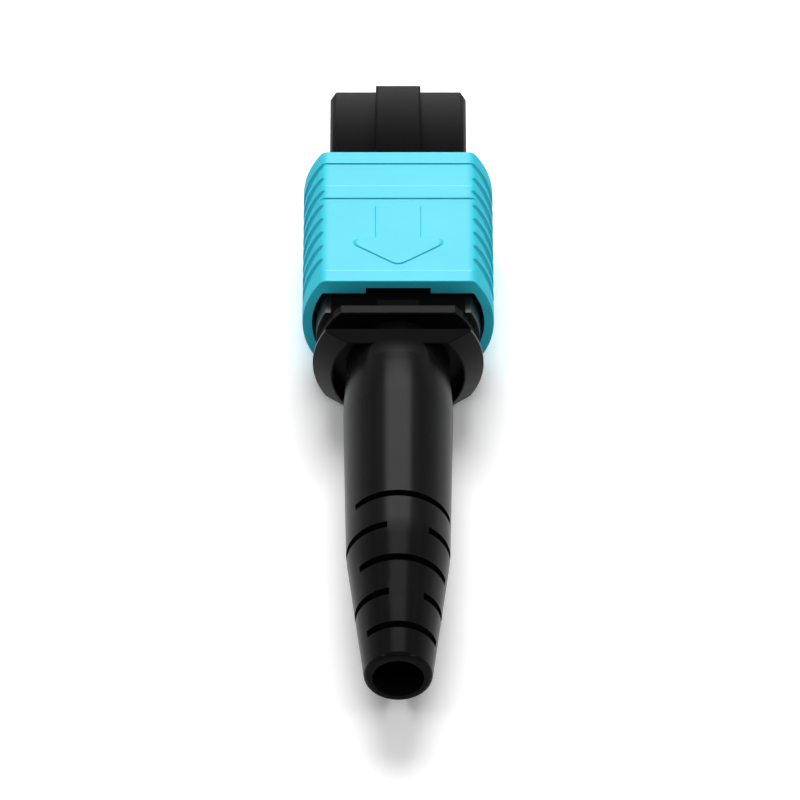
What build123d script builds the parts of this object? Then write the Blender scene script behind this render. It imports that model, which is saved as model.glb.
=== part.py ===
from build123d import *
import os
from math import pi, sqrt

os.makedirs("parts", exist_ok=True)

# A push-on plug for a row of twelve fibres, lying with its optical axis along Y.
# The mating face of the ferrule is at the origin and looks to +Y, the key is up at +Z.
# Sizes are in millimetres. A station is a distance behind the mating face.

# Ferrule block with its shoulder, guide holes and fibre holes
ferrule_height = 2.45
ferrule_length = 8.0
ferrule_side_wall = 0.55
shoulder_length = 2.2
shoulder_step = 0.3
guide_spacing = 4.6
guide_radius = 0.35
guide_wall = 0.2
fibre_count = 12
fibre_spacing = 0.25
fibre_radius = 0.063
fibre_hole_length = 3.0
glue_window_length = 2.0
glue_window_floor = 0.2
ferrule_edge = 0.1

# Elastomer sleeve that leads the fibre ribbon into the ferrule
ribbon_height = 0.4
ribbon_side_wall = 0.17
ribbon_roof = 0.35
ribbon_fit = 0.03
ribbon_seat = 0.6
ribbon_tail = 1.0

# Keeper block behind the ferrule and the boss that carries the spring
keeper_length = 2.4
keeper_inset = 0.15
keeper_socket_depth = 0.9
keeper_socket_play = 0.03
passage_play = 0.1
boss_side_wall = 0.63
boss_roof = 0.25
boss_length = 0.8
boss_play = 0.1

# Racetrack spring behind the ferrule
ferrule_wire = 0.45
ferrule_coil_pitch = 1.3
spring_gap = 0.02

# Inner housing: nose, key and body
ferrule_proud = 0.9
ferrule_play = 0.1
shoulder_play = 0.15
nose_reach = 7.16
nose_wall = 0.83
nose_roof = 0.8
nose_edge = 0.38
nose_corner_length = 0.36
key_width = 2.96
key_rise = 0.65
key_length = 10.2
key_lead = 0.08
key_edge = 0.15
rail_width = 2.66
rail_drop = 0.05
rail_length = 0.55
latch_recess_setback = 0.3
latch_recess_length = 1.4
latch_recess_depth = 0.45
latch_recess_height = 3.2

# Springs that hold the coupling sleeve forward, and their channels
sleeve_wire = 0.2
sleeve_coil_radius = 0.6
sleeve_coil_pitch = 0.58
channel_wall = 0.5
channel_play = 0.1
channel_side_play = 0.15
channel_front_wall = 0.7
channel_rear_wall = 1.4
spring_stand = 0.15
seat_gap = 0.02

# Coupling sleeve: a round outline with flats above and below
sleeve_length = 12.14
sleeve_wall = 0.62
sleeve_roof = 1.08
sleeve_side_play = 0.28
sleeve_top_play = 0.245
sleeve_rim = 0.06
sleeve_edge = 0.5
key_slot_margin = 0.62
key_slot_play = 0.06
tab_setback = 3.85
tab_length = 0.9
tab_root = 0.3
front_lip_length = 1.07
rear_lip_length = 1.09
rib_setback = 3.13
rib_length = 1.22
panel_depth = 0.08
step_lead = 0.14
step_drop = 0.05
grip_count = 8
grip_pitch = 1.26
grip_depth = 0.24
grip_end_depth = 0.15
grip_round = 0.18
grip_run = 0.94
grip_margin = 0.3

# Spring push: latch arms inside the housing, flange and back post behind it
sleeve_travel = 1.45
travel_stop_gap = 0.08
push_reach = 4.2
push_play = 0.05
arm_spring_play = 0.1
arm_slot = 0.4
arm_root = 0.4
arm_height = 2.4
arm_length = 3.9
barb_setback = 2.1
barb_length = 1.5
barb_rise = 0.5
barb_tip = 0.15
window_play = 0.08
flange_thickness = 0.68
flange_stop = 0.38
flange_inset = 0.25
flange_flat_inset = 1.4
flange_edge = 0.05
collar_boss_radius = 2.4
collar_boss_length = 1.45
post_radius = 1.95
post_bore_radius = 1.25
post_length = 7.0
post_ring_count = 4
post_ring_pitch = 1.2
post_ring_length = 0.5
post_ring_rise = 0.15

# Crimp ring on the back post
crimp_play = 0.1
crimp_wall = 0.42
crimp_length = 6.35
crimp_edge = 0.12

# Strain relief boot: flared collar with flats, then a slit tail
collar_gap = 1.29
collar_length = 1.3
collar_rim_length = 0.2
collar_radius = 5.5
collar_rear_radius = 4.33
collar_roof = 0.3
collar_lip = 0.1
collar_edge = 0.06
collar_recess_depth = 1.05
boot_length = 27.8
boot_play = 0.05
boot_wall = 0.86
boot_neck_drop = 0.2
boot_neck_length = 3.2
boot_neck_blend = 30.0
boot_waist_station = 17.6
boot_waist_drop = 0.25
boot_waist_blend = 14.0
boot_tail_radius = 2.12
boot_tail_round = 0.35
cable_bore_radius = 1.6
crimp_room = 0.3
throat_length = 1.5
slit_rows = 5
slit_pitch = 2.6
slit_width = 0.5
slit_span = 132.0
slit_twist = 12.0
slit_floor = 0.3
slit_end_ring = 2.4

# Widths and heights that follow from the ferrule outwards
ferrule_width = guide_spacing + 2 * (guide_radius + ferrule_side_wall)
shoulder_width = ferrule_width + 2 * shoulder_step
shoulder_height = ferrule_height + 2 * shoulder_step
pocket_width = guide_spacing - 2 * (guide_radius + guide_wall)
ribbon_sleeve_width = pocket_width - 2 * ribbon_fit
ribbon_sleeve_height = ribbon_height + 2 * ribbon_roof
ribbon_width = ribbon_sleeve_width - 2 * ribbon_side_wall
pocket_height = ribbon_sleeve_height + 2 * ribbon_fit
passage_width = ribbon_sleeve_width + 2 * passage_play
passage_height = ribbon_sleeve_height + 2 * passage_play
boss_width = passage_width + 2 * boss_side_wall
boss_height = passage_height + 2 * boss_roof
coil_width = boss_width + 2 * (boss_play + ferrule_wire)
coil_height = boss_height + 2 * (boss_play + ferrule_wire)
cavity_width = shoulder_width + 2 * shoulder_play
cavity_height = shoulder_height + 2 * shoulder_play
nose_width = cavity_width + 2 * nose_wall
nose_height = cavity_height + 2 * nose_roof
key_top = nose_height / 2 + key_rise
channel_floor = cavity_width / 2 + channel_wall
channel_height = 2 * (sleeve_coil_radius + channel_side_play)
sleeve_spring_x = channel_floor + channel_play + sleeve_coil_radius
body_half_width = sleeve_spring_x + sleeve_coil_radius - spring_stand
sleeve_inner_radius = body_half_width + sleeve_side_play
sleeve_radius = sleeve_inner_radius + sleeve_wall
sleeve_inner_height = nose_height + 2 * sleeve_top_play
sleeve_height = sleeve_inner_height + 2 * sleeve_roof
key_slot_width = key_width + 2 * key_slot_margin
key_slot_top = key_top + key_slot_play
flange_half_width = body_half_width - flange_inset
flange_half_height = sleeve_inner_height / 2 + flange_stop
arm_inner = coil_width / 2 + arm_spring_play
arm_outer = cavity_width / 2 - push_play
push_core_width = 2 * (arm_inner - arm_slot)
push_core_height = cavity_height - 2 * push_play
crimp_inner_radius = post_radius + post_ring_rise + crimp_play
crimp_radius = crimp_inner_radius + crimp_wall
boot_bore_radius = crimp_radius + boot_play
boot_radius = boot_bore_radius + boot_wall
boot_neck_radius = boot_radius - boot_neck_drop
collar_half_height = boot_bore_radius + collar_roof

# Stations, from the mating face to the end of the boot
nose_front = ferrule_proud
shoulder_front = ferrule_length - shoulder_length
keeper_front = ferrule_length
keeper_rear = keeper_front + keeper_length
sleeve_front = nose_front + nose_reach
sleeve_rear = sleeve_front + sleeve_length
tab_front = sleeve_front + tab_setback
tab_rear = tab_front + tab_length
channel_front = tab_front - seat_gap
body_front = channel_front - channel_front_wall
flange_front = sleeve_rear + sleeve_travel + travel_stop_gap
flange_rear = flange_front + flange_thickness
push_front = flange_front - push_reach
barb_rear = flange_front - barb_setback
barb_front = barb_rear - barb_length
window_front = barb_front - window_play
channel_rear = window_front - channel_rear_wall
crimp_front = flange_rear + collar_boss_length
crimp_rear = crimp_front + crimp_length
post_rear = flange_rear + post_length
collar_front = flange_rear + collar_gap
collar_rear = collar_front + collar_length
boot_end = collar_front + boot_length
boot_bore_end = crimp_rear + crimp_room
slit_first = boot_end - slit_end_ring - (slit_rows - 1) * slit_pitch

sides = (1, -1)


def behind(station):
    """Plane across the plug at a station, with X to the right, Z up and its normal to the rear."""
    return Plane.XZ.offset(station)


def on_axis(radius, station):
    """Point of a turned profile, drawn in the plane of X and Y."""
    return (radius, -station)


def bowed_outline(half_width, half_height, flat):
    """Outline with flats above and below and bowed sides."""
    with BuildLine() as outline:
        top = Line((-flat, half_height), (flat, half_height))
        ThreePointArc(top @ 1, (half_width, 0), (flat, -half_height))
        bottom = Line((flat, -half_height), (-flat, -half_height))
        ThreePointArc(bottom @ 1, (-half_width, 0), top @ 0)
    make_face(outline.edges())


def round_with_flats(radius, height):
    """Circle with flats above and below."""
    Circle(radius)
    Rectangle(2 * radius, height, mode=Mode.INTERSECT)


def grip_outline(height):
    """Outside of the coupling sleeve, with rounded corners where the flats meet the round sides."""
    round_with_flats(sleeve_radius, height)
    corners = vertices().group_by(Axis.Y)
    fillet(corners[0] + corners[-1], sleeve_edge)


# Ferrule
with BuildPart() as ferrule:
    with BuildSketch(behind(0)):
        Rectangle(ferrule_width, ferrule_height)
    extrude(amount=ferrule_length)
    chamfer(ferrule.edges().filter_by(Axis.Y), ferrule_edge)
    with BuildSketch(behind(shoulder_front)):
        RectangleRounded(shoulder_width, shoulder_height, shoulder_step)
    extrude(amount=shoulder_length)
    with BuildSketch(behind(0)):
        with GridLocations(guide_spacing, 0, 2, 1):
            Circle(guide_radius)
    extrude(amount=ferrule_length, mode=Mode.SUBTRACT)
    with BuildSketch(behind(0)):
        with GridLocations(fibre_spacing, 0, fibre_count, 1):
            Circle(fibre_radius)
    extrude(amount=fibre_hole_length, mode=Mode.SUBTRACT)
    with BuildSketch(Plane.XY.offset(-glue_window_floor)):
        with Locations((0, -fibre_hole_length - glue_window_length / 2)):
            Rectangle(pocket_width, glue_window_length)
    extrude(amount=ferrule_height, mode=Mode.SUBTRACT)
    with BuildSketch(behind(fibre_hole_length + glue_window_length)):
        Rectangle(pocket_width, pocket_height)
    extrude(amount=ferrule_length, mode=Mode.SUBTRACT)
ferrule.part.label = "ferrule"
export_step(ferrule.part, "parts/ferrule.step")

# Elastomer sleeve in the rear pocket of the ferrule
ribbon_sleeve_front = fibre_hole_length + glue_window_length + ribbon_seat
with BuildPart() as ferrule_boot:
    with BuildSketch(behind(ribbon_sleeve_front)):
        Rectangle(ribbon_sleeve_width, ribbon_sleeve_height)
        Rectangle(ribbon_width, ribbon_height, mode=Mode.SUBTRACT)
    extrude(amount=keeper_rear + boss_length + ribbon_tail - ribbon_sleeve_front)
ferrule_boot.part.label = "ferrule_boot"
export_step(ferrule_boot.part, "parts/ferrule_boot.step")

# Keeper block, with sockets in line with the guide holes and a boss inside the spring
with BuildPart() as pin_keeper:
    with BuildSketch(behind(keeper_front)):
        Rectangle(shoulder_width - 2 * keeper_inset, shoulder_height - keeper_inset)
    extrude(amount=keeper_length)
    chamfer(pin_keeper.edges().filter_by(Axis.Y), keeper_inset)
    with BuildSketch(behind(keeper_rear)):
        SlotOverall(boss_width, boss_height)
    extrude(amount=boss_length)
    with BuildSketch(behind(keeper_front)):
        Rectangle(passage_width, passage_height)
    extrude(amount=keeper_length + boss_length, mode=Mode.SUBTRACT)
    with BuildSketch(behind(keeper_front)):
        with GridLocations(guide_spacing, 0, 2, 1):
            Circle(guide_radius + keeper_socket_play)
    extrude(amount=keeper_socket_depth, mode=Mode.SUBTRACT)
pin_keeper.part.label = "pin_keeper"
export_step(pin_keeper.part, "parts/pin_keeper.step")

# Racetrack spring: half turns at both ends joined by straights, all at one climb
coil_radius = (coil_height - ferrule_wire) / 2
coil_half_straight = (coil_width - coil_height) / 2
coil_start = keeper_rear + spring_gap + ferrule_wire / 2
coil_end = push_front - spring_gap - ferrule_wire / 2
coil_turns = max(1, round((coil_end - coil_start) / ferrule_coil_pitch))
coil_pitch = (coil_end - coil_start) / coil_turns
coil_climb = coil_pitch / (2 * pi * coil_radius + 4 * coil_half_straight)
turn_climb = pi * coil_radius * coil_climb
straight_climb = 2 * coil_half_straight * coil_climb
half_turn = Helix(2 * turn_climb, turn_climb, coil_radius)
with BuildPart() as ferrule_spring:
    with BuildLine() as ferrule_coil:
        station = coil_start
        for half in range(2 * coil_turns):
            side = sides[half % 2]
            turn_plane = Plane(
                origin=(-side * coil_half_straight, -station, 0), x_dir=(0, 0, side), z_dir=(0, -1, 0)
            )
            add(turn_plane * half_turn)
            station = station + turn_climb
            Line(
                (-side * coil_half_straight, -station, -side * coil_radius),
                (side * coil_half_straight, -station - straight_climb, -side * coil_radius),
            )
            station = station + straight_climb
    with BuildSketch(Plane(ferrule_coil.line @ 0, z_dir=ferrule_coil.line % 0)):
        Circle(ferrule_wire / 2)
    sweep(path=ferrule_coil.line)
ferrule_spring.part.label = "ferrule_spring"
export_step(ferrule_spring.part, "parts/ferrule_spring.step")

# Springs that push the coupling sleeve forward, one in each side channel
sleeve_coil_start = tab_rear + spring_gap + sleeve_wire / 2
sleeve_coil_end = channel_rear - spring_gap - sleeve_wire / 2
sleeve_coil_length = sleeve_coil_end - sleeve_coil_start
sleeve_turns = max(1, round(sleeve_coil_length / sleeve_coil_pitch))
for side, name in zip(sides, ("sleeve_spring_right", "sleeve_spring_left")):
    sleeve_coil = Plane(
        origin=(side * sleeve_spring_x, -sleeve_coil_start, 0), x_dir=(0, 0, 1), z_dir=(0, -1, 0)
    ) * Helix(sleeve_coil_length / sleeve_turns, sleeve_coil_length, sleeve_coil_radius - sleeve_wire / 2)
    with BuildPart() as sleeve_spring:
        with BuildSketch(Plane(sleeve_coil @ 0, z_dir=sleeve_coil % 0)):
            Circle(sleeve_wire / 2)
        sweep(path=sleeve_coil, is_frenet=True)
    sleeve_spring.part.label = name
    export_step(sleeve_spring.part, "parts/" + name + ".step")

# Inner housing
with BuildPart() as inner_housing:
    with BuildSketch(behind(nose_front)):
        Rectangle(nose_width, nose_height)
        chamfer(vertices(), nose_edge)
    extrude(amount=flange_front - nose_front)
    with BuildSketch(Plane.XY):
        with BuildLine():
            Polyline(
                on_axis(nose_width / 2 - nose_edge, nose_front),
                on_axis(nose_width / 2, nose_front + nose_corner_length),
                on_axis(nose_width / 2, nose_front),
                close=True,
            )
        make_face()
        mirror(about=Plane.YZ)
    extrude(amount=nose_height, both=True, mode=Mode.SUBTRACT)
    with BuildSketch(behind(body_front)):
        round_with_flats(body_half_width, nose_height)
    extrude(amount=flange_front - body_front)
    with BuildSketch(Plane.YZ):
        with BuildLine():
            Polyline(
                (-nose_front, 0),
                (-nose_front, key_top - key_lead),
                (-nose_front - key_lead, key_top),
                (-nose_front - key_length, key_top),
                (-nose_front - key_length, 0),
                close=True,
            )
        make_face()
    extrude(amount=key_width / 2, both=True)
    fillet(inner_housing.edges().filter_by(Axis.Y).group_by(Axis.Z)[-1], key_edge)
    with BuildSketch(behind(flange_front - rail_length)):
        with Locations((0, (key_top - rail_drop) / 2)):
            Rectangle(rail_width, key_top - rail_drop)
    extrude(amount=rail_length)
    with BuildSketch(behind(nose_front)):
        RectangleRounded(ferrule_width + 2 * ferrule_play, ferrule_height + 2 * ferrule_play, ferrule_edge)
    extrude(amount=shoulder_front, mode=Mode.SUBTRACT)
    with BuildSketch(behind(shoulder_front - seat_gap)):
        RectangleRounded(cavity_width, cavity_height, shoulder_step)
    extrude(amount=flange_front - shoulder_front + seat_gap, mode=Mode.SUBTRACT)
    for side in sides:
        with BuildSketch(Plane.YZ.offset(side * channel_floor)):
            with Locations((-(channel_front + channel_rear) / 2, 0)):
                Rectangle(channel_rear - channel_front, channel_height)
        extrude(amount=side * sleeve_radius, mode=Mode.SUBTRACT)
        with BuildSketch(Plane.YZ.offset(side * cavity_width / 2)):
            with Locations((-(barb_front + barb_rear) / 2, 0)):
                Rectangle(barb_length + 2 * window_play, arm_height + 2 * window_play)
        extrude(amount=side * sleeve_radius, mode=Mode.SUBTRACT)
        with BuildSketch(Plane.YZ.offset(side * (nose_width / 2 - latch_recess_depth))):
            with Locations((-sleeve_front - latch_recess_setback - latch_recess_length / 2, 0)):
                Rectangle(latch_recess_length, latch_recess_height)
        extrude(amount=side * sleeve_radius, mode=Mode.SUBTRACT)
inner_housing.part.label = "inner_housing"
export_step(inner_housing.part, "parts/inner_housing.step")

# Sawtooth finger grips of the right side: a steep wall at the front, a round floor and a slope back up.
# Their floor bends about an axis beyond the middle, so that they grow shallow towards the flats.
grip_corner = sqrt(sleeve_radius**2 - (sleeve_height / 2) ** 2)
grip_rise = sleeve_radius - grip_depth - grip_corner + grip_end_depth
grip_bend = ((sleeve_height / 2) ** 2 + grip_rise**2) / (2 * grip_rise)
grip_floor_x = sleeve_radius - grip_depth
grip_reach = grip_depth + grip_margin
grip_slope_end = grip_round + (grip_run - grip_round) * grip_reach / grip_depth
with BuildPart() as grip_cutter:
    with BuildSketch(Plane.XY):
        for groove in range(grip_count):
            grip_station = sleeve_front + front_lip_length + groove * grip_pitch
            with BuildLine():
                wall = Line(
                    on_axis(grip_floor_x + grip_reach, grip_station),
                    on_axis(grip_floor_x + grip_round, grip_station),
                )
                floor = JernArc(wall @ 1, wall % 1, grip_round, 90)
                Polyline(
                    floor @ 1,
                    on_axis(grip_floor_x + grip_reach, grip_station + grip_slope_end),
                    wall @ 0,
                )
            make_face()
    revolve(axis=Axis((grip_floor_x - grip_bend, 0, 0), (0, 1, 0)))

# Coupling sleeve: two lips and a rib stand above the recessed panels
rib_end = rib_setback + rib_length
rear_lip_setback = sleeve_length - rear_lip_length
with BuildPart() as coupling_sleeve:
    with BuildSketch(behind(sleeve_front)):
        grip_outline(sleeve_height - 2 * panel_depth)
    extrude(amount=sleeve_length)
    for setback, end in ((0, front_lip_length), (rib_setback, rib_end), (rear_lip_setback, sleeve_length)):
        with BuildSketch(behind(sleeve_front + setback)):
            grip_outline(sleeve_height)
        extrude(amount=end - setback)
    fillet(coupling_sleeve.edges().group_by(Axis.Y)[0], sleeve_rim)
    fillet(coupling_sleeve.edges().group_by(Axis.Y)[-1], sleeve_rim)
    with BuildSketch(Plane.YZ):
        for setback in (rib_setback, rear_lip_setback):
            step = -sleeve_front - setback
            with BuildLine():
                Polyline(
                    (step, sleeve_height / 2 - step_drop),
                    (step, sleeve_height / 2),
                    (step - step_lead, sleeve_height / 2),
                    close=True,
                )
            make_face()
        mirror(about=Plane.XZ)
    extrude(amount=sleeve_radius, both=True, mode=Mode.SUBTRACT)
    add(grip_cutter.part, mode=Mode.SUBTRACT)
    add(grip_cutter.part.mirror(Plane.YZ), mode=Mode.SUBTRACT)
    with BuildSketch(behind(sleeve_front)):
        round_with_flats(sleeve_inner_radius, sleeve_inner_height)
        with Locations((0, key_slot_top / 2)):
            Rectangle(key_slot_width, key_slot_top)
    extrude(amount=sleeve_length, mode=Mode.SUBTRACT)
    tab_inner = sleeve_spring_x - sleeve_coil_radius
    tab_width = sleeve_inner_radius + tab_root - tab_inner
    with BuildSketch(behind(tab_front)):
        for side in sides:
            with Locations((side * (tab_inner + tab_width / 2), 0)):
                Rectangle(tab_width, 2 * sleeve_coil_radius)
    extrude(amount=tab_length)
coupling_sleeve.part.label = "coupling_sleeve"
export_step(coupling_sleeve.part, "parts/coupling_sleeve.step")

# Spring push
with BuildPart() as spring_push:
    with BuildSketch(behind(flange_front)):
        bowed_outline(flange_half_width, flange_half_height, flange_half_width - flange_flat_inset)
    extrude(amount=flange_thickness)
    chamfer(spring_push.edges().group_by(Axis.Y)[0], flange_edge)
    with BuildSketch(behind(push_front)):
        Rectangle(push_core_width, push_core_height)
    extrude(amount=push_reach)
    with BuildSketch(behind(push_front)):
        SlotOverall(boss_width, boss_height)
    extrude(amount=-boss_length)
    for side in sides:
        with BuildSketch(Plane.XY):
            with BuildLine():
                Polyline(
                    (side * arm_inner, -flange_front),
                    (side * arm_inner, -flange_front + arm_length),
                    (side * arm_outer, -flange_front + arm_length),
                    (side * arm_outer, -barb_front),
                    (side * (arm_outer + barb_rise), -barb_rear + barb_tip),
                    (side * (arm_outer + barb_rise), -barb_rear),
                    (side * arm_outer, -barb_rear),
                    (side * arm_outer, -flange_front),
                    close=True,
                )
            make_face()
        extrude(amount=arm_height / 2, both=True)
        with BuildSketch(behind(flange_front - arm_root)):
            with Locations((side * (push_core_width / 2 + arm_outer) / 2, 0)):
                Rectangle(arm_outer - push_core_width / 2, arm_height)
        extrude(amount=arm_root)
    with BuildSketch(behind(flange_rear)):
        Circle(collar_boss_radius)
    extrude(amount=collar_boss_length)
    with BuildSketch(behind(flange_rear)):
        Circle(post_radius)
    extrude(amount=post_length)
    for ring in range(post_ring_count):
        with BuildSketch(behind(post_rear - post_ring_length - ring * post_ring_pitch)):
            Circle(post_radius + post_ring_rise)
        extrude(amount=post_ring_length)
    with BuildSketch(behind(push_front - boss_length)):
        Rectangle(passage_width, passage_height)
    extrude(amount=push_reach + boss_length, mode=Mode.SUBTRACT)
    with BuildSketch(behind(flange_front)):
        Circle(post_bore_radius)
    extrude(amount=flange_thickness + post_length, mode=Mode.SUBTRACT)
spring_push.part.label = "spring_push"
export_step(spring_push.part, "parts/spring_push.step")

# Crimp ring
with BuildPart() as crimp_ring:
    with BuildSketch(behind(crimp_front)):
        Circle(crimp_radius)
        Circle(crimp_inner_radius, mode=Mode.SUBTRACT)
    extrude(amount=crimp_length)
    chamfer(crimp_ring.edges().filter_by(GeomType.CIRCLE), crimp_edge)
crimp_ring.part.label = "crimp_ring"
export_step(crimp_ring.part, "parts/crimp_ring.step")

# Strain relief boot
neck_end = collar_rear + boot_neck_length
waist_station = collar_front + boot_waist_station
waist_radius = boot_radius - boot_waist_drop
with BuildPart() as strain_relief_boot:
    with BuildSketch(Plane.XY):
        with BuildLine():
            Polyline(
                on_axis(0, collar_front),
                on_axis(collar_radius, collar_front),
                on_axis(collar_radius, collar_front + collar_rim_length),
                on_axis(collar_rear_radius, collar_rear),
                on_axis(0, collar_rear),
                close=True,
            )
        make_face()
    revolve(axis=Axis.Y)
    with BuildSketch(behind(collar_front)):
        Rectangle(2 * collar_radius, 2 * collar_half_height)
    extrude(amount=collar_length, mode=Mode.INTERSECT)
    flats = strain_relief_boot.faces().filter_by(Axis.Z)
    fillet(flats.edges(), collar_edge)
    with BuildSketch(behind(collar_rear)):
        round_with_flats(collar_rear_radius - collar_lip, 2 * (collar_half_height - collar_lip))
        Circle(boot_neck_radius, mode=Mode.SUBTRACT)
    extrude(amount=-collar_recess_depth, mode=Mode.SUBTRACT)
    with BuildSketch(Plane.XY) as tube_profile:
        with BuildLine():
            Polyline(
                on_axis(0, collar_rear),
                on_axis(boot_neck_radius, collar_rear),
                on_axis(boot_radius, neck_end),
                on_axis(waist_radius, waist_station),
                on_axis(boot_tail_radius, boot_end),
                on_axis(0, boot_end),
                close=True,
            )
        make_face()
        neck = tube_profile.vertices().sort_by_distance((boot_radius, -neck_end, 0))[0]
        fillet(neck, boot_neck_blend)
        waist = tube_profile.vertices().sort_by_distance((waist_radius, -waist_station, 0))[0]
        fillet(waist, boot_waist_blend)
        tail = tube_profile.vertices().sort_by_distance((boot_tail_radius, -boot_end, 0))[0]
        fillet(tail, boot_tail_round)
    revolve(axis=Axis.Y)
    with BuildSketch(Plane.XY):
        with BuildLine():
            Polyline(
                on_axis(0, collar_front),
                on_axis(boot_bore_radius, collar_front),
                on_axis(boot_bore_radius, boot_bore_end),
                on_axis(cable_bore_radius, boot_bore_end + throat_length),
                on_axis(cable_bore_radius, boot_end),
                on_axis(0, boot_end),
                close=True,
            )
        make_face()
    revolve(axis=Axis.Y, mode=Mode.SUBTRACT)
    for row in range(slit_rows):
        row_turn = 90 * (1 - row % 2) - slit_twist
        with BuildSketch(behind(slit_first + row * slit_pitch - slit_width / 2)):
            for opposite in (0, 180):
                start = row_turn + opposite - slit_span / 2
                with BuildLine():
                    inner = CenterArc((0, 0), cable_bore_radius + slit_floor, start, slit_span)
                    outer = CenterArc((0, 0), 2 * boot_radius, start, slit_span)
                    Line(inner @ 0, outer @ 0)
                    Line(inner @ 1, outer @ 1)
                make_face()
        extrude(amount=slit_width, mode=Mode.SUBTRACT)
strain_relief_boot.part.label = "strain_relief_boot"
export_step(strain_relief_boot.part, "parts/strain_relief_boot.step")
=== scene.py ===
from math import atan2, cos, pi, radians, sin, tan, tau

import bmesh
import bpy
from mathutils import Matrix, Vector
from mathutils.geometry import intersect_line_line


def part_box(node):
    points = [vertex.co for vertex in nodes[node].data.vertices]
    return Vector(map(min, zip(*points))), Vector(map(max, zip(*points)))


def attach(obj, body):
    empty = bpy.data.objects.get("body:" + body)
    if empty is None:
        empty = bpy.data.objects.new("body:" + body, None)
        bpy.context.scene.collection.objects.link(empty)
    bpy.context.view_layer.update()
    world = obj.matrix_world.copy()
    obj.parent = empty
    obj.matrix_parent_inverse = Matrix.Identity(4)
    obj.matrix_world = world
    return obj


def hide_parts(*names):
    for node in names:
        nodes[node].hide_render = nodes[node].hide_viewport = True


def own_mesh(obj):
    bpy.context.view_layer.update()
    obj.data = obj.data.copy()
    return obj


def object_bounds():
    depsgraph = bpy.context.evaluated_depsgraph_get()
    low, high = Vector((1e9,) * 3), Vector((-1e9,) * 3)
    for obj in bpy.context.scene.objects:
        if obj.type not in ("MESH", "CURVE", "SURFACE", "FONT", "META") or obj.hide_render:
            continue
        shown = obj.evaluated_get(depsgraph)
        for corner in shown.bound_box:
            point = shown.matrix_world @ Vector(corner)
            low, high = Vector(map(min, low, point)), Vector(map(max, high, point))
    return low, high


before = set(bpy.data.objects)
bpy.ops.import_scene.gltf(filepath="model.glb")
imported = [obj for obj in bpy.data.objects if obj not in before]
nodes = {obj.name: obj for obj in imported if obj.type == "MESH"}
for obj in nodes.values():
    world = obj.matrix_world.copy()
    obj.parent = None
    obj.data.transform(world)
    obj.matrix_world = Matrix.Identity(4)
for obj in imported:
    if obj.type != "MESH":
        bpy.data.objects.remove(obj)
cad_low, cad_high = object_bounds()

# Sizes are in metres, written as millimetres times MM. A name that ends in _mm holds plain millimetres.
# The plug lies along Y with its mating face at the origin.
MM = 0.001


def linear(hex_colour):
    """sRGB hex value as linear RGB with full alpha."""
    channels = [int(hex_colour[i : i + 2], 16) / 255 for i in (1, 3, 5)]
    return (*[c / 12.92 if c <= 0.04045 else ((c + 0.055) / 1.055) ** 2.4 for c in channels], 1.0)


def add_node(tree, kind, settings=None, inputs=None):
    """Adds a node with its settings. An input that is given a socket is linked, any other takes the value."""
    node = tree.nodes.new(kind)
    for name, value in (settings or {}).items():
        setattr(node, name, value)
    for socket, value in (inputs or {}).items():
        if isinstance(value, bpy.types.NodeSocket):
            tree.links.new(value, node.inputs[socket])
        else:
            node.inputs[socket].default_value = value
    return node


def new_material(name):
    """An empty node material and the Object coordinates that its patterns are drawn on."""
    material = bpy.data.materials.new(name)
    material.use_nodes = True
    tree = material.node_tree
    tree.nodes.clear()
    place = add_node(tree, "ShaderNodeTexCoord").outputs["Object"]
    return material, tree, place


def surface(tree, shader):
    """Joins the last shader to the material's surface."""
    add_node(tree, "ShaderNodeOutputMaterial", inputs={"Surface": shader.outputs[0]})


# Materials

# Noise seldom leaves this part of its range, so the flow clouds are stretched over it.
cloud_low = 0.3
cloud_high = 0.7


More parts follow.
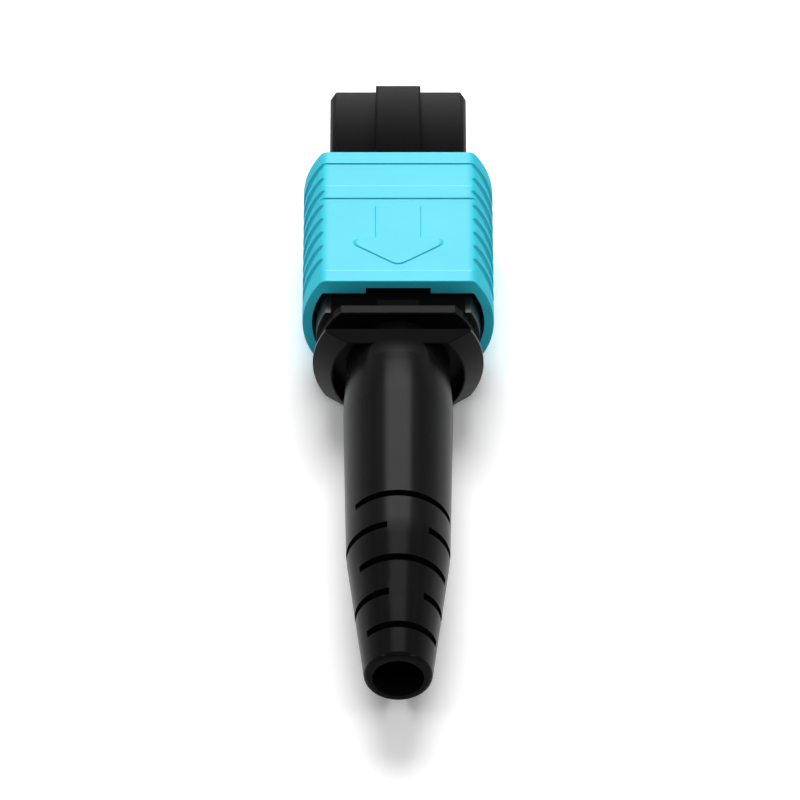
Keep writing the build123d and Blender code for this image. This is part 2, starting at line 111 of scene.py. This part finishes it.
def moulded_plastic(name, colours, grain_mm, grain_height_mm, cloud_mm, rough, specular, polish_changes=()):
    """Injection moulded plastic: an even colour with the faintest flow clouds and a pebble that breaks up the
    gloss. A real pebble of about 0.02 mm is too fine to show, so it is drawn several times as coarse.
    Roughness has two values that it wanders between with the clouds. Where the mould goes from one polish
    to another, each of polish_changes has an axis, a place on it, and the distances from that place at which
    the value so far ends and the next one begins. A specular level with one value is the same all over."""
    material, tree, place = new_material(name)
    cloud = add_node(
        tree, "ShaderNodeTexNoise", inputs={"Vector": place, "Scale": 1 / (cloud_mm * MM), "Detail": 3.0}
    )
    colour = add_node(tree, "ShaderNodeValToRGB", inputs={"Fac": cloud.outputs["Fac"]})
    for stop, position, hex_colour in zip(colour.color_ramp.elements, (cloud_low, cloud_high), colours):
        stop.position = position
        stop.color = linear(hex_colour)
    grain = add_node(
        tree,
        "ShaderNodeTexNoise",
        inputs={"Vector": place, "Scale": 1 / (grain_mm * MM), "Detail": 2.0, "Roughness": 0.6},
    )
    pebble = add_node(
        tree,
        "ShaderNodeBump",
        inputs={"Height": grain.outputs["Fac"], "Distance": grain_height_mm * MM, "Strength": 1.0},
    )
    guides = []
    for change in polish_changes:
        along = add_node(tree, "ShaderNodeSeparateXYZ", inputs={0: place}).outputs[change["axis"]]
        offset = add_node(
            tree, "ShaderNodeMath", {"operation": "SUBTRACT"}, {0: along, 1: change["middle_mm"] * MM}
        )
        distance = add_node(tree, "ShaderNodeMath", {"operation": "ABSOLUTE"}, {0: offset.outputs[0]})
        near, far = change["near_mm"] * MM, change["far_mm"] * MM
        guides.append({"Value": distance.outputs[0], "From Min": near, "From Max": far})
    if not guides:
        guides.append({"Value": cloud.outputs["Fac"], "From Min": cloud_low, "From Max": cloud_high})

    def graded(values):
        """The first value, then for each guide the next value past it."""
        level = values[0]
        for guide, beyond in zip(guides, values[1:]):
            step = add_node(tree, "ShaderNodeMapRange", inputs={**guide, "To Min": level, "To Max": beyond})
            level = step.outputs["Result"]
        return level

    shader = add_node(
        tree,
        "ShaderNodeBsdfPrincipled",
        inputs={
            "Base Color": colour.outputs["Color"],
            "Roughness": graded(rough),
            "Specular IOR Level": graded(specular),
            "Normal": pebble.outputs["Normal"],
        },
    )
    surface(tree, shader)
    return material


def bright_metal(name, colours, line_mm, gloss):
    """Drawn, machined or plated metal: bright, with a fine streak from the die or the tool. The real streaks
    are a few hundredths of a millimetre, so they are drawn coarser, as wide as line_mm."""
    material, tree, place = new_material(name)
    lines = add_node(
        tree, "ShaderNodeTexNoise", inputs={"Vector": place, "Scale": 1 / (line_mm * MM), "Detail": 4.0}
    )
    colour = add_node(tree, "ShaderNodeValToRGB", inputs={"Fac": lines.outputs["Fac"]})
    for stop, hex_colour in zip(colour.color_ramp.elements, colours):
        stop.color = linear(hex_colour)
    polish = add_node(
        tree,
        "ShaderNodeMapRange",
        inputs={"Value": lines.outputs["Fac"], "To Min": gloss[0], "To Max": gloss[1]},
    )
    shader = add_node(
        tree,
        "ShaderNodeBsdfPrincipled",
        inputs={
            "Base Color": colour.outputs["Color"],
            "Roughness": polish.outputs["Result"],
            "Metallic": 1.0,
        },
    )
    surface(tree, shader)
    return material


# Aqua PBT of the sleeve: clean and saturated, with a soft sheen on the flats and a duller one on the grips.
aqua = moulded_plastic(
    "PBT_aqua_moulded",
    colours=("#33c9df", "#37cde3"),
    grain_mm=0.09,
    grain_height_mm=0.0008,
    cloud_mm=4.0,
    rough=(0.3, 0.65),
    specular=(0.17,),
    polish_changes=[dict(axis="X", middle_mm=0.0, near_mm=4.5, far_mm=5.0)],
)
# Black PBT of the housing: matt and deep behind, burnished at its tip and down its sides by the adapters
# it has been pushed into.
housing_black = moulded_plastic(
    "PBT_black_moulded_tip_burnished",
    colours=("#090909", "#0c0c0c"),
    grain_mm=0.1,
    grain_height_mm=0.0012,
    cloud_mm=3.0,
    rough=(1.0, 0.24, 0.35),
    specular=(0.052, 0.052, 0.25),
    polish_changes=[
        dict(axis="Y", middle_mm=-20.0, near_mm=12.2, far_mm=19.0),
        dict(axis="X", middle_mm=0.0, near_mm=4.28, far_mm=4.36),
    ],
)
# Black PBT of the spring push: its flange is satin and shows as a grey band, its post behind is matt.
push_black = moulded_plastic(
    "PBT_black_moulded",
    colours=("#0a0a0a", "#0d0d0d"),
    grain_mm=0.1,
    grain_height_mm=0.001,
    cloud_mm=3.0,
    rough=(0.35, 1.0),
    specular=(0.04,),
    polish_changes=[dict(axis="Y", middle_mm=-21.6, near_mm=0.8, far_mm=0.95)],
)
# Black elastomer of the boot: a smooth tail with one long highlight down its back, and a collar that is
# satin round its sides, so that they stand out grey, and matt on its flats.
boot_black = moulded_plastic(
    "thermoplastic_elastomer_black_moulded",
    colours=("#0d0d0d", "#101010"),
    grain_mm=0.12,
    grain_height_mm=0.001,
    cloud_mm=5.0,
    rough=(0.3, 0.9, 0.25),
    specular=(0.085, 0.046, 0.046),
    polish_changes=[
        dict(axis="Z", middle_mm=0.0, near_mm=2.88, far_mm=2.95),
        dict(axis="Y", middle_mm=-22.0, near_mm=3.0, far_mm=4.2),
    ],
)
# Glass filled PPS of the ferrule: nearly black, with pale specks of glass in the ground face.
ferrule_resin = moulded_plastic(
    "PPS_glass_filled_moulded_and_ground",
    colours=("#1c1a19", "#34302d"),
    grain_mm=0.05,
    grain_height_mm=0.001,
    cloud_mm=0.2,
    rough=(0.3, 0.5),
    specular=(0.4,),
)
# Silicone of the ribbon sleeve: pale and dull.
ribbon_elastomer = moulded_plastic(
    "silicone_elastomer_moulded",
    colours=("#d8d6cf", "#e4e2db"),
    grain_mm=0.1,
    grain_height_mm=0.001,
    cloud_mm=1.5,
    rough=(0.5, 0.6),
    specular=(0.35,),
)
# Spring wire: bright and slightly streaked, so that the turns stand out in their dark channels.
spring_steel = bright_metal(
    "stainless_spring_wire_drawn", colours=("#b8b9ba", "#d2d3d4"), line_mm=0.06, gloss=(0.2, 0.32)
)
# Keeper: a duller machined grey.
keeper_steel = bright_metal(
    "stainless_steel_machined", colours=("#a9aaab", "#c8c9ca"), line_mm=0.1, gloss=(0.28, 0.4)
)
# Crimp ring: nickel plate over brass, bright with a warm tint.
crimp_metal = bright_metal(
    "brass_nickel_plated", colours=("#c4c0b6", "#dcd8cf"), line_mm=0.15, gloss=(0.16, 0.28)
)

finishes = {
    "coupling_sleeve": aqua,
    "inner_housing": housing_black,
    "spring_push": push_black,
    "strain_relief_boot": boot_black,
    "ferrule": ferrule_resin,
    "ferrule_boot": ribbon_elastomer,
    "pin_keeper": keeper_steel,
    "crimp_ring": crimp_metal,
}
for name, finish in finishes.items():
    nodes[name].data.materials.clear()
    nodes[name].data.materials.append(finish)


def new_piece(name, mesh, body, finish):
    """Shows a mesh that has its place in its vertices, riding on a body."""
    mesh.materials.clear()
    mesh.materials.append(finish)
    piece = bpy.data.objects.new(name, mesh)
    bpy.context.scene.collection.objects.link(piece)
    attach(piece, body)
    return piece


# Springs: wires wound by Geometry Nodes where the CAD springs are

ferrule_spring_turns = 5
ferrule_wire_radius = 0.225 * MM
sleeve_spring_turns = 6
sleeve_wire_radius = 0.1 * MM
points_in_a_turn = 48
points_round_the_wire = 16

wound_wire = bpy.data.node_groups.new("wound_wire", "GeometryNodeTree")
wound_wire.interface.new_socket("Geometry", in_out="OUTPUT", socket_type="NodeSocketGeometry")
wire_inputs = {
    name: wound_wire.interface.new_socket(name, in_out="INPUT", socket_type="NodeSocket" + kind).identifier
    for name, kind in (
        ("Turns", "Float"),
        ("Radius", "Float"),
        ("Length", "Float"),
        ("Straight", "Float"),
        ("Wire", "Float"),
        ("Finish", "Material"),
    )
}
given = add_node(wound_wire, "NodeGroupInput").outputs
winding = add_node(
    wound_wire,
    "GeometryNodeCurveSpiral",
    inputs={
        "Resolution": points_in_a_turn,
        "Rotations": given["Turns"],
        "Start Radius": given["Radius"],
        "End Radius": given["Radius"],
        "Height": given["Length"],
    },
)
position = add_node(wound_wire, "GeometryNodeInputPosition")
across = add_node(wound_wire, "ShaderNodeSeparateXYZ", inputs={0: position.outputs[0]})
half = add_node(wound_wire, "ShaderNodeMath", {"operation": "SIGN"}, {0: across.outputs["X"]})
shift = add_node(
    wound_wire, "ShaderNodeMath", {"operation": "MULTIPLY"}, {0: half.outputs[0], 1: given["Straight"]}
)
apart = add_node(wound_wire, "ShaderNodeCombineXYZ", inputs={"X": shift.outputs[0]})
racetrack = add_node(
    wound_wire, "GeometryNodeSetPosition", inputs={"Geometry": winding.outputs[0], "Offset": apart.outputs[0]}
)
section = add_node(
    wound_wire,
    "GeometryNodeCurvePrimitiveCircle",
    inputs={"Resolution": points_round_the_wire, "Radius": given["Wire"]},
)
wire = add_node(
    wound_wire,
    "GeometryNodeCurveToMesh",
    inputs={"Curve": racetrack.outputs[0], "Profile Curve": section.outputs[0], "Fill Caps": True},
)
smooth = add_node(wound_wire, "GeometryNodeSetShadeSmooth", inputs={"Geometry": wire.outputs[0]})
real = add_node(wound_wire, "GeometryNodeRealizeInstances", inputs={"Geometry": smooth.outputs[0]})
painted = add_node(
    wound_wire, "GeometryNodeSetMaterial", inputs={"Geometry": real.outputs[0], "Material": given["Finish"]}
)
add_node(wound_wire, "NodeGroupOutput", inputs={0: painted.outputs[0]})


def spring(node, turns, wire_radius):
    """Winds a spring where a CAD spring is, riding on the plug, and hides the CAD spring."""
    low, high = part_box(node)
    middle = (low + high) / 2
    size = high - low
    winder = bpy.data.objects.new(node + "_winder", bpy.data.meshes.new(node + "_winder"))
    bpy.context.scene.collection.objects.link(winder)
    modifier = winder.modifiers.new("winding", "NODES")
    modifier.node_group = wound_wire
    modifier[wire_inputs["Turns"]] = float(turns)
    modifier[wire_inputs["Radius"]] = size.z / 2 - wire_radius
    modifier[wire_inputs["Length"]] = size.y - 2 * wire_radius
    modifier[wire_inputs["Straight"]] = (size.x - size.z) / 2
    modifier[wire_inputs["Wire"]] = wire_radius
    modifier[wire_inputs["Finish"]] = spring_steel
    mesh = bpy.data.meshes.new_from_object(winder.evaluated_get(bpy.context.evaluated_depsgraph_get()))
    bpy.data.objects.remove(winder)
    front = Matrix.Translation((middle.x, high.y - wire_radius, middle.z))
    mesh.transform(front @ Matrix.Rotation(radians(90), 4, "X"))
    piece = new_piece(node + "_wire", mesh, "plug", spring_steel)
    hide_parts(node)
    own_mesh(piece)


spring("ferrule_spring", ferrule_spring_turns, ferrule_wire_radius)
spring("sleeve_spring_right", sleeve_spring_turns, sleeve_wire_radius)
spring("sleeve_spring_left", sleeve_spring_turns, sleeve_wire_radius)

# Raised arrow on the rear panel of the sleeve, which points to the rear.
# Its sizes and its places behind the front edge of the sleeve are in millimetres.
arrow_half_shaft = 1.5
arrow_shaft_front = 5.03
arrow_shoulder = 7.97
arrow_half_wings = 3.8
arrow_wings = 8.075
arrow_point = 10.66
arrow_corner = 0.1
arrow_wing_round = 0.42
arrow_point_round = 0.75
arrow_arc_steps = 8
arrow_rise = 0.078
arrow_root = 0.05
arrow_side_slope = 0.06
arrow_front_slope = 0.11
panel_depth = 0.08


def rounded_outline(corners):
    """Points round a closed outline. A corner is given as its place and its radius."""
    points = []
    for index, (corner, radius) in enumerate(corners):
        back = (corners[index - 1][0] - corner).normalized()
        onward = (corners[(index + 1) % len(corners)][0] - corner).normalized()
        half_angle = back.angle(onward) / 2
        centre = corner + (back + onward).normalized() * radius / sin(half_angle)
        start = corner + back * radius / tan(half_angle) - centre
        end = corner + onward * radius / tan(half_angle) - centre
        turn = (atan2(end.y, end.x) - atan2(start.y, start.x) + pi) % tau - pi
        for step in range(arrow_arc_steps + 1):
            points.append(centre + Matrix.Rotation(turn * step / arrow_arc_steps, 2) @ start)
    return points


def inset_corners(corners, insets):
    """Corners of an outline whose edges are moved inwards. An inset belongs to the edge after its corner."""
    lines = []
    for index, (corner, radius) in enumerate(corners):
        along = (corners[(index + 1) % len(corners)][0] - corner).normalized()
        start = corner + along.orthogonal() * insets[index]
        lines.append((start.to_3d(), (start + along).to_3d()))
    return [
        (intersect_line_line(*lines[index - 1], *lines[index])[0].to_2d(), radius)
        for index, (corner, radius) in enumerate(corners)
    ]


right_half = [
    (arrow_half_shaft, arrow_shaft_front, arrow_corner),
    (arrow_half_shaft, arrow_shoulder, arrow_corner),
    (arrow_half_wings, arrow_wings, arrow_wing_round),
]
arrow_corners = [(Vector((x, behind)), radius) for x, behind, radius in right_half]
arrow_corners.append((Vector((0, arrow_point)), arrow_point_round))
arrow_corners += [(Vector((-x, behind)), radius) for x, behind, radius in reversed(right_half)]
# Edges that face the mating end, the two shoulders and the front of the shaft, slope more gently.
arrow_slopes = [
    arrow_side_slope,
    arrow_front_slope,
    arrow_side_slope,
    arrow_side_slope,
    arrow_front_slope,
    arrow_side_slope,
    arrow_front_slope,
]
arrow_shape = bmesh.new()
arrow_levels = [
    [arrow_shape.verts.new((point.x, -point.y, height)) for point in rounded_outline(corners)]
    for height, corners in (
        (-arrow_root, arrow_corners),
        (0, arrow_corners),
        (arrow_rise, inset_corners(arrow_corners, arrow_slopes)),
    )
]
for lower, upper in zip(arrow_levels, arrow_levels[1:]):
    for index in range(len(lower)):
        arrow_shape.faces.new((lower[index - 1], lower[index], upper[index], upper[index - 1]))
arrow_shape.faces.new(arrow_levels[0])
arrow_shape.faces.new(arrow_levels[-1])
bmesh.ops.recalc_face_normals(arrow_shape, faces=arrow_shape.faces)
arrow_mesh = bpy.data.meshes.new("pull_arrow")
arrow_shape.to_mesh(arrow_mesh)
arrow_shape.free()
sleeve_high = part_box("coupling_sleeve")[1]
on_panel = Matrix.Translation((0, sleeve_high.y, sleeve_high.z - panel_depth * MM))
arrow_mesh.transform(on_panel @ Matrix.Scale(MM, 4))
new_piece("pull_arrow", arrow_mesh, "sleeve", aqua)

# Stage: a white floor that keeps the shadow, in white surroundings that are dim overhead.
# The floor lies just clear of the sleeve, so that no two faces share a plane.

floor_half_size = 1500 * MM
floor_gap = 0.02 * MM
floor_lighting = 0.6
floor_seen = 1.26
sky_lighting = 0.17
sky_seen_low = 1.0
sky_seen_high = 0.25
sky_low_elevation = radians(15)
sky_high_elevation = radians(35)


def level_when_seen(tree, lighting, seen):
    """One level for what lights the plug, another for what the camera, reflections and glass see."""
    rays = add_node(tree, "ShaderNodeLightPath").outputs
    direct = rays["Is Camera Ray"]
    for ray in ("Is Glossy Ray", "Is Transmission Ray"):
        either = add_node(tree, "ShaderNodeMath", {"operation": "MAXIMUM"}, {0: direct, 1: rays[ray]})
        direct = either.outputs[0]
    level = add_node(tree, "ShaderNodeMapRange", inputs={"Value": direct, "To Min": lighting, "To Max": seen})
    return level.outputs["Result"]


floor_shape = bmesh.new()
floor_place = Matrix.Translation((0, 0, cad_low.z - floor_gap))
bmesh.ops.create_grid(floor_shape, x_segments=1, y_segments=1, size=floor_half_size, matrix=floor_place)
floor_mesh = bpy.data.meshes.new("floor")
floor_shape.to_mesh(floor_mesh)
floor_shape.free()
floor = bpy.data.objects.new("floor", floor_mesh)
bpy.context.scene.collection.objects.link(floor)
floor_paint, tree, _ = new_material("floor_white_paint")
floor_level = level_when_seen(tree, floor_lighting, floor_seen)
surface(tree, add_node(tree, "ShaderNodeBsdfDiffuse", inputs={"Color": floor_level}))
floor_mesh.materials.append(floor_paint)

world = bpy.data.worlds.new("studio")
bpy.context.scene.world = world
world.use_nodes = True
tree = world.node_tree
tree.nodes.clear()
direction = add_node(tree, "ShaderNodeTexCoord").outputs["Generated"]
direction_up = add_node(tree, "ShaderNodeSeparateXYZ", inputs={0: direction}).outputs["Z"]
sky_seen = add_node(
    tree,
    "ShaderNodeMapRange",
    inputs={
        "Value": direction_up,
        "From Min": sin(sky_low_elevation),
        "From Max": sin(sky_high_elevation),
        "To Min": sky_seen_low,
        "To Max": sky_seen_high,
    },
)
sky_level = level_when_seen(tree, sky_lighting, sky_seen.outputs["Result"])
sky = add_node(tree, "ShaderNodeBackground", inputs={"Color": linear("#ffffff"), "Strength": sky_level})
add_node(tree, "ShaderNodeOutputWorld", inputs={"Surface": sky.outputs[0]})

# Lights, aimed at the middle of the plug

light_aim = Vector((0, -25 * MM, 0))


def softbox(name, azimuth, elevation, distance_mm, width_mm, height_mm, watts):
    """Soft rectangular lamp. Its angles are in degrees, and azimuth 0 is in front of the mating face."""
    lamp = bpy.data.lights.new(name, "AREA")
    lamp.shape = "RECTANGLE"
    lamp.size = width_mm * MM
    lamp.size_y = height_mm * MM
    lamp.energy = watts
    holder = bpy.data.objects.new(name, lamp)
    bpy.context.scene.collection.objects.link(holder)
    a, e = radians(azimuth), radians(elevation)
    away = Vector((sin(a) * cos(e), cos(a) * cos(e), sin(e)))
    holder.location = light_aim + away * distance_mm * MM
    holder.rotation_mode = "QUATERNION"
    holder.rotation_quaternion = away.to_track_quat("Z", "Y")
    holder.visible_camera = False


# The front softboxes lie where the flats and the boot's back mirror them to the camera: a wide dim one,
# a bright core, and a higher one for the tapered tail. The kicker lights what faces the front.
softbox(
    "front_softbox", azimuth=0, elevation=45, distance_mm=900, width_mm=1500, height_mm=180, watts=1.3
)
softbox(
    "front_softbox_core", azimuth=0, elevation=45, distance_mm=860, width_mm=600, height_mm=175, watts=4.2
)
softbox(
    "front_softbox_tail", azimuth=0, elevation=58, distance_mm=860, width_mm=480, height_mm=150, watts=1.35
)
softbox("left_softbox", azimuth=-100, elevation=45, distance_mm=900, width_mm=600, height_mm=80, watts=1.5)
softbox("right_softbox", azimuth=100, elevation=45, distance_mm=900, width_mm=600, height_mm=80, watts=1.5)
softbox("front_kicker", azimuth=0, elevation=7, distance_mm=900, width_mm=600, height_mm=150, watts=1.6)
softbox("rear_fill", azimuth=180, elevation=60, distance_mm=900, width_mm=500, height_mm=300, watts=0.75)

# Camera: behind and above the plug, far off with a long lens

camera_elevation = radians(44.5)
camera_distance = 494 * MM
camera_pivot = Vector((0, -20 * MM, 0))
picture_centre = Vector((0.116 * MM, -27.2 * MM, 0))
sensor_width_mm = 36
lens_mm = 343.7

camera_data = bpy.data.cameras.new("camera")
camera_data.sensor_width = sensor_width_mm
camera_data.lens = lens_mm
camera = bpy.data.objects.new("camera", camera_data)
bpy.context.scene.collection.objects.link(camera)
camera.location = camera_pivot + camera_distance * Vector((0, -cos(camera_elevation), sin(camera_elevation)))
camera.rotation_mode = "QUATERNION"
camera.rotation_quaternion = (picture_centre - camera.location).to_track_quat("-Z", "Y")
bpy.context.scene.camera = camera

bpy.context.scene.view_settings.view_transform = "Standard"
